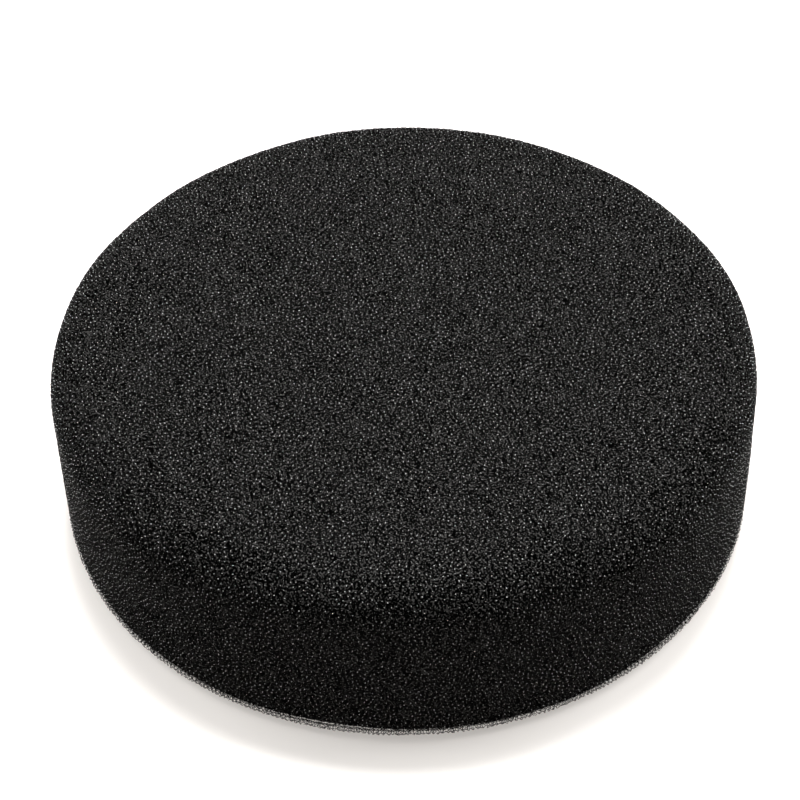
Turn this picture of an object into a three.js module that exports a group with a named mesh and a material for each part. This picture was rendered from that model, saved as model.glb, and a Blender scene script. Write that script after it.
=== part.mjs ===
// A round foam polishing pad for a car polisher, in millimetres, +Z up.
//
// The pad lies on its hook-and-loop backing with its working face up. The origin is the centre of the
// loop face, where the pad is pressed onto the hooks of the machine's backing plate, and +Z runs along
// the pad's own axis, out of the working face. Four layers are bonded or knitted into one piece:
//
//   foam_pad       open-cell polyurethane foam, contour-cut, its working edge ground to a radius
//   adhesive_film  hot-melt film that laminates the backing to the foam
//   backing_cloth  warp-knitted ground cloth, which holds the loops
//   loop_pile      the layer of brushed loops, which the backing plate's hooks grip
//
// Nothing turns, slides or folds inside a pad: its layers are all discs on one axis.

import * as THREE from "three";

// Driving dimensions.
const PAD_DIAMETER = 150;
const FOAM_THICKNESS = 40.5;
const WORKING_EDGE_RADIUS = 8;
const BARE_RIM = 5; // ring of foam outside the backing, so that no hook or loop can touch the paint
const FILM_THICKNESS = 0.2;
const CLOTH_THICKNESS = 0.6;
const PILE_HEIGHT = 1.2;

// How finely the round surfaces are cut into flats.
const TURN_SEGMENTS = 96;
const EDGE_SEGMENTS = 8;

// Sizes and heights that follow from the driving dimensions.
const PAD_RADIUS = PAD_DIAMETER / 2;
const BACKING_RADIUS = PAD_RADIUS - BARE_RIM;
const CLOTH_BASE = PILE_HEIGHT;
const FILM_BASE = CLOTH_BASE + CLOTH_THICKNESS;
const FOAM_BASE = FILM_BASE + FILM_THICKNESS;
const EDGE_RADIUS = Math.min(WORKING_EDGE_RADIUS, FOAM_THICKNESS / 2); // limited by the foam's thickness

// Turns an outline of [radius, height] points, listed from the bottom centre to the top centre,
// into a solid whose axis is +Z.
function turned(outline) {
  const points = outline.map(([radius, height]) => new THREE.Vector2(radius, height));
  return new THREE.LatheGeometry(points, TURN_SEGMENTS).rotateX(Math.PI / 2);
}

// The outline of a flat disc that stands on height 0.
function discOutline(radius, thickness) {
  return [
    [0, 0],
    [radius, 0],
    [radius, thickness],
    [0, thickness],
  ];
}

// The outline of the foam: a square-cut lower edge, a straight wall and a quarter round at the face.
function foamOutline() {
  const outline = [
    [0, 0],
    [PAD_RADIUS, 0],
  ];
  for (let step = 0; step <= EDGE_SEGMENTS; step++) {
    const angle = (step / EDGE_SEGMENTS) * (Math.PI / 2);
    outline.push([
      PAD_RADIUS - EDGE_RADIUS * (1 - Math.cos(angle)),
      FOAM_THICKNESS - EDGE_RADIUS * (1 - Math.sin(angle)),
    ]);
  }
  outline.push([0, FOAM_THICKNESS]);
  return outline;
}

// One layer of the pad, set down at its own height on the shared axis.
function layer(name, outline, base, look) {
  const mesh = new THREE.Mesh(turned(outline), new THREE.MeshStandardMaterial(look));
  mesh.name = name;
  mesh.position.z = base;
  return mesh;
}

const FOAM_LOOK = { color: 0x1c1c1d, roughness: 0.95, metalness: 0 };
const FILM_LOOK = { color: 0x8f8c84, roughness: 0.45, metalness: 0 };
const CLOTH_LOOK = { color: 0xc4c2bb, roughness: 0.9, metalness: 0 };
const PILE_LOOK = { color: 0xd6d4cd, roughness: 0.85, metalness: 0 };

const pad = new THREE.Group();
pad.add(
  layer("foam_pad", foamOutline(), FOAM_BASE, FOAM_LOOK),
  layer("adhesive_film", discOutline(BACKING_RADIUS, FILM_THICKNESS), FILM_BASE, FILM_LOOK),
  layer("backing_cloth", discOutline(BACKING_RADIUS, CLOTH_THICKNESS), CLOTH_BASE, CLOTH_LOOK),
  layer("loop_pile", discOutline(BACKING_RADIUS, PILE_HEIGHT), 0, PILE_LOOK),
);

export default pad;
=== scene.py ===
"""A round foam polishing pad, lying on its loop backing with its working face up.

The pad is put together here as it is made: the foam disc, the open cells of its cut rim, the melted
film, the backing cloth and the loops. The floor, the lights and the camera come last.
"""

import math
import random

import bmesh
import bpy
import numpy as np
from mathutils import Matrix, Vector


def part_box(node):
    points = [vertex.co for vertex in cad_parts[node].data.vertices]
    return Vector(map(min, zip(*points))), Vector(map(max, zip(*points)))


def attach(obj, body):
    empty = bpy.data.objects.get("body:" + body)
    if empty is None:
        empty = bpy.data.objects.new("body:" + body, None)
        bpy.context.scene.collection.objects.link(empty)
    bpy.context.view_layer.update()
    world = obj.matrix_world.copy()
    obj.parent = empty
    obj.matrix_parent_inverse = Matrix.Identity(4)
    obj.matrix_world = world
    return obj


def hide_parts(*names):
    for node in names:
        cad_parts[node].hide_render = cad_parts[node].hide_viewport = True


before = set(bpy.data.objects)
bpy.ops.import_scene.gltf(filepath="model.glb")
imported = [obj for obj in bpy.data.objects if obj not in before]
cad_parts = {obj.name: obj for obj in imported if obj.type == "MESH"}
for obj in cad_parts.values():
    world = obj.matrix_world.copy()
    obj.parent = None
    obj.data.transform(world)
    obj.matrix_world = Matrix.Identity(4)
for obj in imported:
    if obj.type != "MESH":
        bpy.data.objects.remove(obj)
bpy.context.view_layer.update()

MM = 0.001


# ---------------------------------------------------------------------------------------------------
# The foam disc: open-cell polyurethane foam, contour-cut square at the back and ground to a radius
# around its working face. Its cut surface is a net of thin struts around open cells, the shade in which
# is painted black.
# ---------------------------------------------------------------------------------------------------

foam_low, foam_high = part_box("foam_pad")
FOAM_RADIUS = (foam_high.x - foam_low.x) / 2
FACE_EDGE_RADIUS = 8 * MM
CELL = 0.36 * MM  # from one cell's middle to its wall
CELL_DEPTH = 0.2 * MM  # how deep the cut face's open cells are
CUT_PROUD = 0.35 * MM  # how far the struts' cut tips stand proud of the disc's nominal size
SWELL = 0.5 * MM  # how far the soft disc strays from its true shape
SWELL_WIDTH = 30 * MM
STRUT_APART = 0.95 * MM  # the least way from one cut strut end to the next
STRUT_END = 0.3 * MM  # how far the longest of them stand out
STRUT_END_WIDTH = 0.08 * MM  # half of their thickness at the foot
STRUT_LEAN = 0.9  # the most that one leans to either side
FACE_STEPS = 440  # mesh steps across the face, four times which go around the rim
RIM_CUT = 1.9 * MM  # how far the solid mesh stays back from the lower corner, where struts take over
UNDERSIDE_EDGE = 69 * MM  # where the solid mesh closes, out of sight behind the backing
BUMP_DEPTH = 0.12 * MM
FOAM_ROUGHNESS = 0.6
# Painted shade: the near-black colour of the open cells stands in for the shade deep inside them.
FOAM_CELL_SHADE = (0.0001, 0.0001, 0.0001, 1)
FOAM_STRUT = (0.034, 0.033, 0.032, 1)

FLAT_RADIUS = FOAM_RADIUS - FACE_EDGE_RADIUS
EDGE_RUN = FACE_EDGE_RADIUS * math.pi / 2
WALL_RUN = foam_high.z - foam_low.z - FACE_EDGE_RADIUS - RIM_CUT
CUT_RUN = RIM_CUT * math.sqrt(2)
UNDERSIDE_RUN = FOAM_RADIUS - RIM_CUT - UNDERSIDE_EDGE
WHOLE_RUN = FLAT_RADIUS + EDGE_RUN + WALL_RUN + CUT_RUN + UNDERSIDE_RUN
RIM_STEPS = 4 * FACE_STEPS
WALL_STEPS = round((WHOLE_RUN - FLAT_RADIUS) / (math.tau * FOAM_RADIUS / RIM_STEPS))


class Field:
    """A socket of a node tree. Sums on it add Math nodes to its tree."""

    def __init__(self, tree, socket=None):
        self.tree = tree
        self.socket = socket

    def add(self, kind, settings, inputs, output=0):
        """Adds a node, gives it its settings, then its sockets' values or links."""
        node = self.tree.nodes.new(kind)
        for name, value in settings.items():
            setattr(node, name, value)
        for name, value in inputs.items():
            if isinstance(value, Field):
                self.tree.links.new(value.socket, node.inputs[name])
            else:
                node.inputs[name].default_value = value
        return Field(self.tree, node.outputs[output] if node.outputs else None)

    def math(self, operation, *values):
        return self.add("ShaderNodeMath", {"operation": operation}, dict(enumerate(values)))

    def between(self, low, high, start=0.0, end=1.0):
        """Runs smoothly from start to end as this goes from low to high."""
        settings = {"interpolation_type": "SMOOTHSTEP"}
        values = {"Value": self, "From Min": low, "From Max": high, "To Min": start, "To Max": end}
        return self.add("ShaderNodeMapRange", settings, values)

    def feed(self, node, name):
        """Links this to a named socket of a node."""
        self.tree.links.new(self.socket, node.inputs[name])

    def __add__(self, other):
        return self.math("ADD", self, other)

    def __radd__(self, other):
        return self.math("ADD", other, self)

    def __mul__(self, other):
        return self.math("MULTIPLY", self, other)

    def __rmul__(self, other):
        return self.math("MULTIPLY", other, self)


def new_piece(name, bm):
    """Makes a shown object of a finished bmesh, with smooth faces."""
    mesh = bpy.data.meshes.new(name)
    bm.to_mesh(mesh)
    bm.free()
    mesh.shade_smooth()
    piece = bpy.data.objects.new(name, mesh)
    bpy.context.scene.collection.objects.link(piece)
    return piece


def new_material(name, piece):
    """Gives a piece a new material: (a Field of its tree, its Principled shader)."""
    material = bpy.data.materials.new(name)
    material.use_nodes = True
    piece.data.materials.append(material)
    return Field(material.node_tree), material.node_tree.nodes["Principled BSDF"]


def new_modifier(name):
    """A tree of geometry nodes: (a Field of its incoming geometry, its outgoing node)."""
    tree = bpy.data.node_groups.new(name, "GeometryNodeTree")
    tree.interface.new_socket("Geometry", in_out="INPUT", socket_type="NodeSocketGeometry")
    tree.interface.new_socket("Geometry", in_out="OUTPUT", socket_type="NodeSocketGeometry")
    return Field(tree).add("NodeGroupInput", {}, {}), tree.nodes.new("NodeGroupOutput")


def finish_mesh(piece, tree):
    """Runs a tree of geometry nodes on a piece, once and for all."""
    piece.modifiers.new(tree.name, "NODES").node_group = tree
    depsgraph = bpy.context.evaluated_depsgraph_get()
    piece.data = bpy.data.meshes.new_from_object(piece.evaluated_get(depsgraph))
    piece.modifiers.clear()
    piece.data.shade_smooth()


def colour_mix(low, high, factor):
    """A colour that goes from low to high with a factor from 0 to 1."""
    settings = {"data_type": "RGBA"}
    return factor.add("ShaderNodeMix", settings, {0: factor, 6: low, 7: high}, output=2)


def noise_field(place, scale, low, high):
    """A noise of the scale at a place, drawn out so that it runs from 0 at low to 1 at high."""
    values = {"Vector": place, "Scale": scale, "Detail": 0.0}
    return place.add("ShaderNodeTexNoise", {}, values).between(low, high)


def strut_field(place):
    """How much strut there is at a place in the foam: 1 on a cell's wall, 0 in its opening. It is
    turned, so that no flat cut runs along the noise's own grid."""
    turned = place.add("ShaderNodeVectorRotate", {"rotation_type": "EULER_XYZ"},
                       {"Vector": place, "Rotation": (0.6, 0.4, 0.9)})
    return noise_field(turned, 1 / CELL, 0.47, 0.8)


def foam_outline(run):
    """The radius and height of the foam's outline, at a distance run along it from the face's centre."""
    if run <= FLAT_RADIUS:
        return run, foam_high.z
    run -= FLAT_RADIUS
    if run <= EDGE_RUN:
        angle = run / FACE_EDGE_RADIUS
        radius = FLAT_RADIUS + FACE_EDGE_RADIUS * math.sin(angle)
        return radius, foam_high.z - FACE_EDGE_RADIUS * (1 - math.cos(angle))
    run -= EDGE_RUN
    if run <= WALL_RUN:
        return FOAM_RADIUS, foam_high.z - FACE_EDGE_RADIUS - run
    run -= WALL_RUN
    if run <= CUT_RUN:
        cut = RIM_CUT * run / CUT_RUN
        return FOAM_RADIUS - cut, foam_low.z + RIM_CUT - cut
    return FOAM_RADIUS - RIM_CUT - (run - CUT_RUN), foam_low.z


def disc_angle(x, y):
    """Where a point of a square grid goes around the disc, so that all its cells keep one size."""
    if x == 0 and y == 0:
        return 0
    if abs(x) > abs(y):
        return math.pi / 4 * y / x + (math.pi if x < 0 else 0)
    return math.pi / 2 - math.pi / 4 * x / y + (math.pi if y < 0 else 0)


bm = bmesh.new()
run_layer = bm.verts.layers.float.new("run")
face = bmesh.ops.create_grid(bm, x_segments=FACE_STEPS, y_segments=FACE_STEPS, size=1)
for vert in face["verts"]:
    radius = FLAT_RADIUS * max(abs(vert.co.x), abs(vert.co.y))
    angle = disc_angle(vert.co.x, vert.co.y)
    vert.co = (radius * math.cos(angle), radius * math.sin(angle), foam_high.z)
    vert[run_layer] = radius
wall = bmesh.ops.create_grid(bm, x_segments=RIM_STEPS, y_segments=WALL_STEPS, size=1)
for vert in wall["verts"]:
    angle = vert.co.x * math.pi
    run = FLAT_RADIUS + (vert.co.y + 1) / 2 * (WHOLE_RUN - FLAT_RADIUS)
    radius, height = foam_outline(run)
    vert.co = (radius * math.cos(angle), radius * math.sin(angle), height)
    vert[run_layer] = run
bmesh.ops.remove_doubles(bm, verts=bm.verts, dist=0.02 * MM)
bmesh.ops.edgeloop_fill(bm, edges=[edge for edge in bm.edges if edge.is_boundary])
bmesh.ops.recalc_face_normals(bm, faces=bm.faces)
foam = new_piece("foam", bm)

# Each point sinks into the cell that it lies in, and keeps the place where the knife met it.
start, end = new_modifier("open cells")
place = start.add("GeometryNodeInputPosition", {}, {})
normal = start.add("GeometryNodeInputNormal", {}, {})
swell = noise_field(place, 1 / SWELL_WIDTH, 0.2, 0.8) * SWELL
depth = strut_field(place) * CELL_DEPTH + swell + (CUT_PROUD - CELL_DEPTH - SWELL / 2)
offset = start.add("ShaderNodeVectorMath", {"operation": "SCALE"}, {0: normal, "Scale": depth})
settings = {"data_type": "FLOAT_VECTOR", "domain": "POINT"}
values = {"Geometry": start, "Name": "cut", "Value": place}
kept = start.add("GeometryNodeStoreNamedAttribute", settings, values)
moved = start.add("GeometryNodeSetPosition", {}, {"Geometry": kept, "Offset": offset})
moved.feed(end, "Geometry")
finish_mesh(foam, start.tree)


def lay_out(piece, places):
    """Gives a piece a flat map of its surface: its corners' places on the chart."""
    layer = piece.data.uv_layers.new(name="OFBake")
    layer.uv.foreach_set("vector", (places / CHART).astype(np.float32).ravel())


def corner_values(mesh, name, width):
    """A vertex attribute's values, or the places, at each corner of a mesh's faces, in millimetres."""
    corners = np.empty(len(mesh.loops), dtype=np.int32)
    mesh.loops.foreach_get("vertex_index", corners)
    values = np.empty(len(mesh.vertices) * width, dtype=np.float32)
    mesh.attributes[name].data.foreach_get("value" if width == 1 else "vector", values)
    return values.reshape(-1, width)[corners] / MM


# The face is laid out as a disc, the wall as two strips beside it, and the underside above it at half
# its size, on a square chart in millimetres.
CHART = 240
FACE_MIDDLE = 80
STRIPS = (162, 201)
UNDERSIDE_MIDDLE = (40, 200)
run = corner_values(foam.data, "run", 1)[:, 0]
spot = corner_values(foam.data, "cut", 3)
starts = np.empty(len(foam.data.polygons), dtype=np.int32)
foam.data.polygons.foreach_get("loop_start", starts)
lengths = np.diff(np.append(starts, len(run)))
middle_run = np.repeat(np.add.reduceat(run, starts) / lengths, lengths)
middle_x = np.repeat(np.add.reduceat(spot[:, 0], starts), lengths)
middle_y = np.repeat(np.add.reduceat(spot[:, 1], starts), lengths)
angle = np.arctan2(spot[:, 1], spot[:, 0])
around = np.arctan2(middle_y, middle_x)
angle += math.tau * np.round((around - angle) / math.tau)
wall_start = (FLAT_RADIUS + EDGE_RUN) / MM
u = np.where(around < 0, STRIPS[0], STRIPS[1]) + run - wall_start
v = np.where(around < 0, angle + math.pi, angle) * FOAM_RADIUS / MM
on_face = middle_run < wall_start
u = np.where(on_face, FACE_MIDDLE + run * np.cos(angle), u)
v = np.where(on_face, FACE_MIDDLE + run * np.sin(angle), v)
underside = np.repeat(lengths > 4, lengths)
u = np.where(underside, UNDERSIDE_MIDDLE[0] + spot[:, 0] / 2, u)
v = np.where(underside, UNDERSIDE_MIDDLE[1] + spot[:, 1] / 2, v)
lay_out(foam, np.stack((u, v), axis=1))


def foam_material(name, piece, place, brightness):
    """The foam's matt finish, grey struts around cells painted black as shade: (its tree, its shader,
    the struts).
    """
    tree, shader = new_material(name, piece)
    place = tree.add(*place)
    struts = strut_field(place)
    colour = [channel * brightness for channel in FOAM_STRUT]
    # The cells' openings take the near-black colour: painted shade, the dark of their depths.
    colour_mix(FOAM_CELL_SHADE, colour, struts).feed(shader, "Base Color")
    shader.inputs["Roughness"].default_value = FOAM_ROUGHNESS
    shader.inputs["Specular IOR Level"].default_value = 0.0
    return tree, shader, struts


place = ("ShaderNodeAttribute", {"attribute_name": "cut"}, {}, "Vector")
tree, shader, struts = foam_material("foam", foam, place, 1.0)
values = {"Height": struts, "Distance": BUMP_DEPTH, "Strength": 0.6}
tree.add("ShaderNodeBump", {}, values).feed(shader, "Normal")
shader.inputs["Sheen Weight"].default_value = 0.06
shader.inputs["Sheen Roughness"].default_value = 0.2
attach(foam, "root")
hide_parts("foam_pad")


def lay_out_plan(piece):
    """Gives a piece of many small parts its flat map: the piece, as seen from above."""
    plan = corner_values(piece.data, "position", 3)[:, :2]
    lay_out(piece, plan + FACE_MIDDLE)


# The knife leaves the ends of cut struts standing all over the foam, which roughen its outline.
ends = bpy.data.objects.new("foam_strut_ends", foam.data.copy())
bpy.context.scene.collection.objects.link(ends)
start, end = new_modifier("strut ends")
settings = {"distribute_method": "POISSON"}
values = {"Mesh": start, "Distance Min": STRUT_APART, "Density Max": 6 / STRUT_APART**2, "Seed": 3}
points = start.add("GeometryNodeDistributePointsOnFaces", settings, values)
upright = Field(start.tree, points.socket.node.outputs["Rotation"])
settings = {"data_type": "FLOAT_VECTOR"}
values = {"Min": (-STRUT_LEAN, -STRUT_LEAN, 0), "Max": (STRUT_LEAN, STRUT_LEAN, math.tau), "Seed": 1}
lean = start.add("FunctionNodeRandomValue", settings, values)
lean = start.add("FunctionNodeEulerToRotation", {}, {"Euler": lean})
turn = start.add("FunctionNodeRotateRotation", {"rotation_space": "LOCAL"},
                 {"Rotation": upright, "Rotate By": lean})
values = {"Vertices": 3, "Side Segments": 1, "Radius Top": 0.0, "Radius Bottom": STRUT_END_WIDTH,
          "Depth": STRUT_END}
spike = start.add("GeometryNodeMeshCone", {"fill_type": "NGON"}, values)
long = start.add("FunctionNodeRandomValue", {"data_type": "FLOAT"}, {"Seed": 2}, output=1)
values = {"Points": points, "Instance": spike, "Rotation": turn, "Scale": long.between(0.0, 1.0, 0.4)}
placed = start.add("GeometryNodeInstanceOnPoints", {}, values)
start.add("GeometryNodeRealizeInstances", {}, {"Geometry": placed}).feed(end, "Geometry")
finish_mesh(ends, start.tree)
ends.data.attributes.remove(ends.data.attributes["OFBake"])  # the foam's map, which came along
lay_out_plan(ends)
object_place = ("ShaderNodeTexCoord", {}, {}, "Object")
# Known fault: the mesh comes with an empty material slot that its faces use, so the ends show in the
# plain default grey and not in this finish.
# This copy of the finish is painted at 0.3 of the face's brightness: painted shade for ends that stand
# out in the light.
foam_material("foam strut ends", ends, object_place, 0.3)
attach(ends, "root")


# ---------------------------------------------------------------------------------------------------
# The open cells of the lower corner: the knife leaves a sharp edge there, where the last row of cells
# is cut from two sides, so only a net of bare struts is left and light passes between them.
# ---------------------------------------------------------------------------------------------------

RIM_CELL = 1.0 * MM  # the side of a cube that holds two cells
RIM_STRUT = 0.055 * MM  # half of a strut's thickness
RIM_JITTER = 0.18 * MM
RIM_MISSING = 0.15  # the share of struts that the knife tore out
RIM_ROOT = 0.3 * MM  # how far the net runs on into the solid foam


def drawn_out(piece, thickness, sides):
    """Turns each chain of edges of a piece into a closed, thin rod."""
    start, end = new_modifier("rods")
    line = start.add("GeometryNodeMeshToCurve", {}, {"Mesh": start})
    values = {"Resolution": sides, "Radius": thickness}
    section = start.add("GeometryNodeCurvePrimitiveCircle", {}, values)
    values = {"Curve": line, "Profile Curve": section, "Fill Caps": True}
    start.add("GeometryNodeCurveToMesh", {}, values).feed(end, "Geometry")
    finish_mesh(piece, start.tree)


draw = random.Random(11)
quarter = RIM_CELL / 4
quarters_around = 4 * round(math.tau * FOAM_RADIUS / RIM_CELL)
quarters_deep = math.ceil((RIM_CUT + RIM_ROOT) / quarter)
bm = bmesh.new()
knots = {}
for around in range(quarters_around):
    for inward in range(quarters_deep):
        for upward in range(quarters_deep - inward):
            if sorted((around % 4, inward % 4, upward % 4)) not in ([0, 1, 2], [0, 2, 3]):
                continue
            angle = (around + draw.uniform(-1, 1) * RIM_JITTER / quarter) / quarters_around * math.tau
            radius = FOAM_RADIUS + CUT_PROUD - inward * quarter + draw.uniform(-1, 1) * RIM_JITTER
            height = foam_low.z + upward * quarter + draw.uniform(-0.3, 1) * RIM_JITTER
            place = (radius * math.cos(angle), radius * math.sin(angle), height)
            knots[around, inward, upward] = bm.verts.new(place)
for (around, inward, upward), knot in knots.items():
    for step in ((1, 1, 0), (1, -1, 0), (1, 0, 1), (1, 0, -1), (0, 1, 1), (0, 1, -1)):
        other = ((around + step[0]) % quarters_around, inward + step[1], upward + step[2])
        if other in knots and draw.random() > RIM_MISSING:
            bm.edges.new((knot, knots[other]))
rim = new_piece("foam_rim", bm)
drawn_out(rim, RIM_STRUT, 3)
lay_out_plan(rim)

# The rim's struts take the finish at 0.3 of the face's brightness: painted shade, darker than the same
# struts on the face.
foam_material("foam rim", rim, object_place, 0.3)
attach(rim, "root")


# ---------------------------------------------------------------------------------------------------
# The adhesive film: a web of hot-melt glue, pressed between foam and cloth by hot rollers. It shows
# only at its rim, where a little of it is squeezed out.
# ---------------------------------------------------------------------------------------------------

film_low, film_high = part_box("adhesive_film")
FILM_STEPS = 60
FILM_SQUEEZE = 0.25 * MM
FILM_COLOUR = (0.42, 0.40, 0.35, 1)
FILM_SHADE = (0.34, 0.32, 0.27, 1)


def round_sheet(name, steps, low, high, squeeze):
    """A disc of sheet as thick as its box, with an even mesh and a rim that waves by the squeeze."""
    bm = bmesh.new()
    bmesh.ops.create_grid(bm, x_segments=steps, y_segments=steps, size=1)
    for vert in bm.verts:
        angle = disc_angle(vert.co.x, vert.co.y)
        reach = max(abs(vert.co.x), abs(vert.co.y))
        wave = math.sin(17 * angle) + math.sin(41 * angle + 1) + math.sin(73 * angle + 2)
        radius = high.x * reach + squeeze * reach**8 * wave / 3
        vert.co = (radius * math.cos(angle), radius * math.sin(angle), low.z)
    sheet = bmesh.ops.extrude_face_region(bm, geom=bm.faces[:])
    lifted = [part for part in sheet["geom"] if isinstance(part, bmesh.types.BMVert)]
    bmesh.ops.translate(bm, verts=lifted, vec=(0, 0, high.z - low.z))
    bmesh.ops.recalc_face_normals(bm, faces=bm.faces)
    return new_piece(name, bm)


film = round_sheet("film", FILM_STEPS, film_low, film_high, FILM_SQUEEZE)
tree, shader = new_material("film", film)
place = tree.add(*object_place)
webbed = tree.add("ShaderNodeTexNoise", {}, {"Vector": place, "Scale": 900.0, "Detail": 3.0})
colour_mix(FILM_SHADE, FILM_COLOUR, webbed).feed(shader, "Base Color")
webbed.between(0.3, 0.7, 0.3, 0.5).feed(shader, "Roughness")
values = {"Height": webbed, "Distance": 0.05 * MM, "Strength": 0.6}
tree.add("ShaderNodeBump", {}, values).feed(shader, "Normal")
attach(film, "root")
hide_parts("adhesive_film")


# ---------------------------------------------------------------------------------------------------
# The backing cloth: the warp-knitted ground of the loop fabric, polyamide yarn in fine ribs. It is cut
# to a disc with the film already on it, and laid flat against the foam.
# ---------------------------------------------------------------------------------------------------

cloth_low, cloth_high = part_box("backing_cloth")
CLOTH_STEPS = 180
CLOTH_FRAY = 0.1 * MM
WALE = 1.1 * MM  # from one knitted rib to the next
CLOTH_COLOUR = (0.34, 0.33, 0.31, 1)
CLOTH_SHADE = (0.20, 0.195, 0.18, 1)

cloth = round_sheet("backing_cloth_knit", CLOTH_STEPS, cloth_low, cloth_high, CLOTH_FRAY)
tree, shader = new_material("backing cloth", cloth)
place = tree.add(*object_place)
settings = {"wave_type": "BANDS", "bands_direction": "X", "wave_profile": "SIN"}
values = {"Vector": place, "Scale": math.tau / WALE / 20, "Distortion": 0.6, "Detail Scale": 2.0}
wales = tree.add("ShaderNodeTexWave", settings, values, output="Fac")
settings = {"wave_type": "BANDS", "bands_direction": "Y", "wave_profile": "SIN"}
values = {"Vector": place, "Scale": math.tau / WALE / 12, "Distortion": 1.5, "Detail Scale": 2.0}
courses = tree.add("ShaderNodeTexWave", settings, values, output="Fac")
knit = wales * 0.6 + wales * courses * 0.4
# The knit's low places between its ribs take the darker colour: painted shade in the grooves, from the
# same field as the bump.
colour_mix(CLOTH_SHADE, CLOTH_COLOUR, knit).feed(shader, "Base Color")
values = {"Height": knit, "Distance": 0.2 * MM, "Strength": 0.9}
tree.add("ShaderNodeBump", {}, values).feed(shader, "Normal")
shader.inputs["Roughness"].default_value = 0.85
shader.inputs["Sheen Weight"].default_value = 0.2
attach(cloth, "root")
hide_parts("backing_cloth")


# ---------------------------------------------------------------------------------------------------
# The loops: polyamide yarn, knitted through the cloth and brushed, so that they stand at all angles
# for the hooks of the machine's plate to catch. The pad lies on them.
# ---------------------------------------------------------------------------------------------------

pile_low, pile_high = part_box("loop_pile")
LOOP_PITCH = 1.45 * MM
LOOP_SHIFT = 0.3  # how far one stands from its place in the row, at most, as a share of the pitch
LOOP_WIDTH = (0.4, 0.8)  # half of it in millimetres, the least and the most
LOOP_LEAN = (0, 0.7)  # in millimetres
LOOP_POINTS = 5
YARN = 0.09 * MM  # half of its thickness
YARN_COLOUR = (0.80, 0.79, 0.75, 1)
YARN_SHADE = (0.55, 0.54, 0.50, 1)

draw = random.Random(5)


def any_way(low, high):
    """A level vector in any direction, between low and high millimetres in length."""
    angle = draw.uniform(0, math.tau)
    return Vector((math.cos(angle), math.sin(angle), 0)) * draw.uniform(low, high) * MM


bm = bmesh.new()
bed = pile_high.x - LOOP_PITCH / 2
rows = round(2 * bed / LOOP_PITCH)
for row in range(rows + 1):
    for column in range(rows + 1):
        x = (column / rows * 2 - 1) * bed + draw.uniform(-LOOP_SHIFT, LOOP_SHIFT) * LOOP_PITCH
        y = (row / rows * 2 - 1) * bed + draw.uniform(-LOOP_SHIFT, LOOP_SHIFT) * LOOP_PITCH
        if math.hypot(x, y) > bed:
            continue
        width = any_way(*LOOP_WIDTH)
        lean = any_way(*LOOP_LEAN)
        tall = (pile_high.z - pile_low.z - YARN) * draw.uniform(0.75, 1)
        last = None
        for number in range(LOOP_POINTS):
            turn = math.pi * number / (LOOP_POINTS - 1)
            rise = math.sin(turn)
            place = Vector((x, y, pile_high.z - tall * rise)) - width * math.cos(turn) + lean * rise
            vert = bm.verts.new(place)
            if last:
                bm.edges.new((last, vert))
            last = vert
loops = new_piece("loops", bm)
drawn_out(loops, YARN, 3)
lay_out_plan(loops)

tree, shader = new_material("loops", loops)
place = tree.add(*object_place)
uneven = tree.add("ShaderNodeTexNoise", {}, {"Vector": place, "Scale": 500.0, "Detail": 2.0})
colour_mix(YARN_SHADE, YARN_COLOUR, uneven.between(0.3, 0.7)).feed(shader, "Base Color")
shader.inputs["Roughness"].default_value = 0.6
shader.inputs["Sheen Weight"].default_value = 0.3
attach(loops, "root")
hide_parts("loop_pile")


# ---------------------------------------------------------------------------------------------------
# The floor, the lights and the camera.
# ---------------------------------------------------------------------------------------------------

bm = bmesh.new()
bmesh.ops.create_grid(bm, x_segments=1, y_segments=1, size=3)
floor = new_piece("floor", bm)
tree, shader = new_material("floor", floor)
shader.inputs["Base Color"].default_value = (0.62, 0.60, 0.58, 1)
shader.inputs["Emission Color"].default_value = (1, 0.95, 0.9, 1)
shader.inputs["Emission Strength"].default_value = 0.42
shader.inputs["Roughness"].default_value = 0.7
shader.inputs["Specular IOR Level"].default_value = 0.2


def soft_light(name, place, aim, size, power):
    """A square soft box at a place, turned to its aim."""
    light = bpy.data.lights.new(name, "AREA")
    light.size = size
    light.energy = power
    lamp = bpy.data.objects.new(name, light)
    lamp.location = place
    lamp.rotation_euler = (Vector(aim) - Vector(place)).to_track_quat("-Z", "Y").to_euler()
    bpy.context.scene.collection.objects.link(lamp)


pad = (0, 0, 0.03)
soft_light("key", (0.03, 0.27, 1.12), pad, 0.3, 28)
soft_light("overhead", (0, 0.3, 1.3), (0, 0, 0), 1.6, 10)
soft_light("right", (0.85, 0.3, 0.6), pad, 0.7, 11)
soft_light("left", (-0.85, 0.3, 0.6), pad, 0.7, 7)
world = bpy.data.worlds.new("room")
world.use_nodes = True
world.node_tree.nodes["Background"].inputs["Color"].default_value = (1, 1, 1, 1)
world.node_tree.nodes["Background"].inputs["Strength"].default_value = 0.2
bpy.context.scene.world = world
bpy.context.scene.view_settings.view_transform = "Standard"

CAMERA_DISTANCE = 0.5
CAMERA_ELEVATION = 44.54
CAMERA_PAN = 0.167
CAMERA_TILT = 45.292
CAMERA_ROLL = -1.402
CAMERA_LENS = 103.55
CAMERA_AIM = 22.5 * MM  # above the foam's underside
aim = Vector((0, 0, foam_low.z + CAMERA_AIM))
away = Matrix.Rotation(math.radians(-CAMERA_ELEVATION), 3, "X") @ Vector((0, -CAMERA_DISTANCE, 0))
camera = bpy.data.objects.new("camera", bpy.data.cameras.new("camera"))
camera.data.lens = CAMERA_LENS
camera.data.clip_start = 0.02
turn = (
    Matrix.Rotation(math.radians(CAMERA_PAN), 4, "Z")
    @ Matrix.Rotation(math.radians(CAMERA_TILT), 4, "X")
    @ Matrix.Rotation(math.radians(CAMERA_ROLL), 4, "Z")
)
camera.matrix_world = Matrix.Translation(aim + away) @ turn
bpy.context.scene.collection.objects.link(camera)
bpy.context.scene.camera = camera
